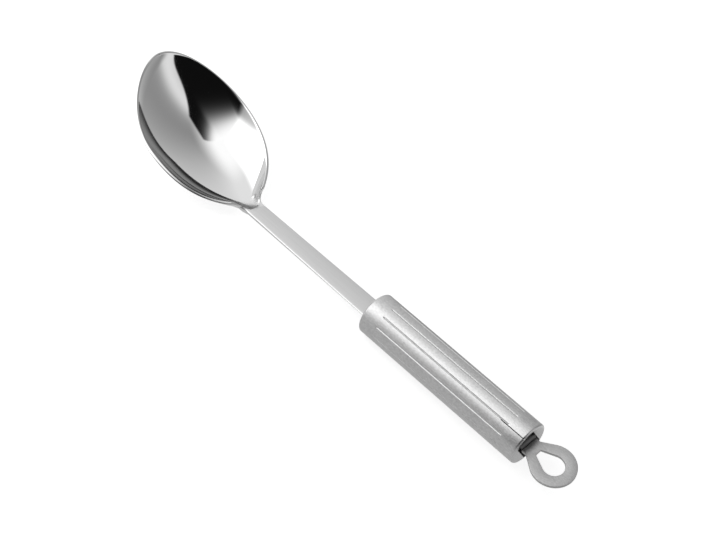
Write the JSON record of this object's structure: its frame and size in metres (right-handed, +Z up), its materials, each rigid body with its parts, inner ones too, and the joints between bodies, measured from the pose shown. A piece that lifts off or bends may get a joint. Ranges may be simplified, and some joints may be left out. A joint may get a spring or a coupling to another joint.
{
  "type": "serving spoon",
  "caption": "Stainless serving spoon with a deep tilted oval bowl, a flat stem, a round grooved hollow handle and a hinged teardrop hanging loop.",
  "frame": {"origin": "on the table below the middle of the spoon, as it rests on its bowl and on the handle's front lower edge", "axes": "+X from the bowl towards the hanging loop, +Y across the spoon, +Z up from the table"},
  "size_m": [0.3337, 0.0728, 0.0507],
  "materials": {
    "polished_steel": "mirror-polished bowl, finely brushed stem",
    "satin_steel": "satin, brushed along the handle"
  },
  "bodies": {
    "spoon": {"spoon_head": "polished_steel", "front_cap": "satin_steel", "stem_weld": "satin_steel", "handle_tube": "satin_steel", "loop_pin": "satin_steel"},
    "loop": {"hanging_loop": "satin_steel"}
  },
  "joints": [
    {"name": "loop_hinge", "type": "hinge", "parent": "spoon", "child": "loop", "pos_m": [0.13517, 0, 0.01964], "axis": [0.0115, -0.9848, -0.1733], "range_deg": [-32, 32]}
  ]
}
